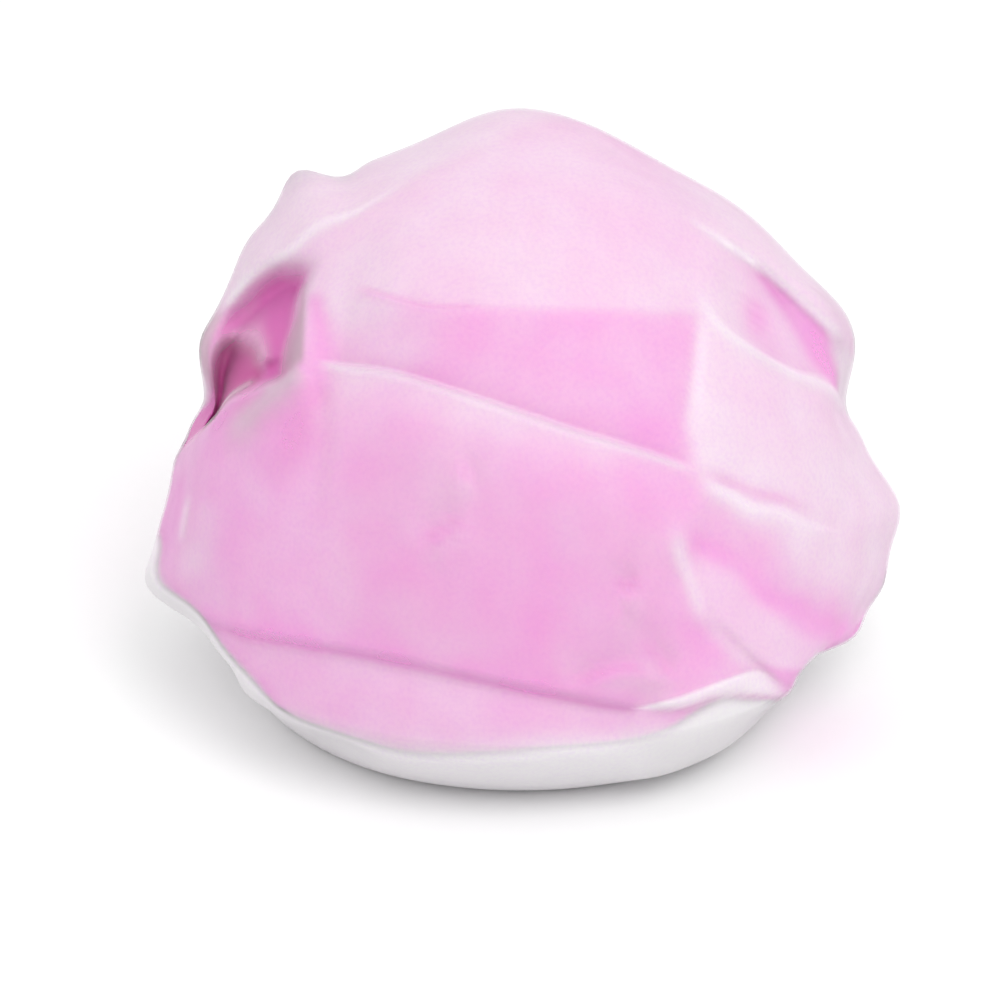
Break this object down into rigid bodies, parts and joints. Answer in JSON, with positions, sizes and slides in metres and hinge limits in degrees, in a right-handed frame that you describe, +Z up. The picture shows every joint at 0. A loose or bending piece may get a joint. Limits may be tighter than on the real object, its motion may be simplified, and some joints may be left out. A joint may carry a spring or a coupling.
{
  "type": "shower cap",
  "caption": "Loose bouffant shower cap: a frosted translucent film bag over a pink cloth lining, gathered on an elastic hem.",
  "frame": {"origin": "on the floor under the middle of the cap's box, with the cap standing on the flat of its bottom fold", "axes": "+Z up through the crown, -Y towards the nape, +X towards the wearer's right ear"},
  "size_m": [0.2802, 0.2698, 0.2242],
  "materials": {
    "frosted_film": "frosted translucent film",
    "pink_cloth": "fine plain weave",
    "white_elastic": "ribbed textile-covered elastic",
    "white_thread": "twisted sewing thread"
  },
  "bodies": {
    "root": {"outer_film": "frosted_film", "lining": "pink_cloth", "elastic_band": "white_elastic", "elastic_bartack": "white_thread", "hem_stitching": "white_thread"}
  },
  "joints": []
}
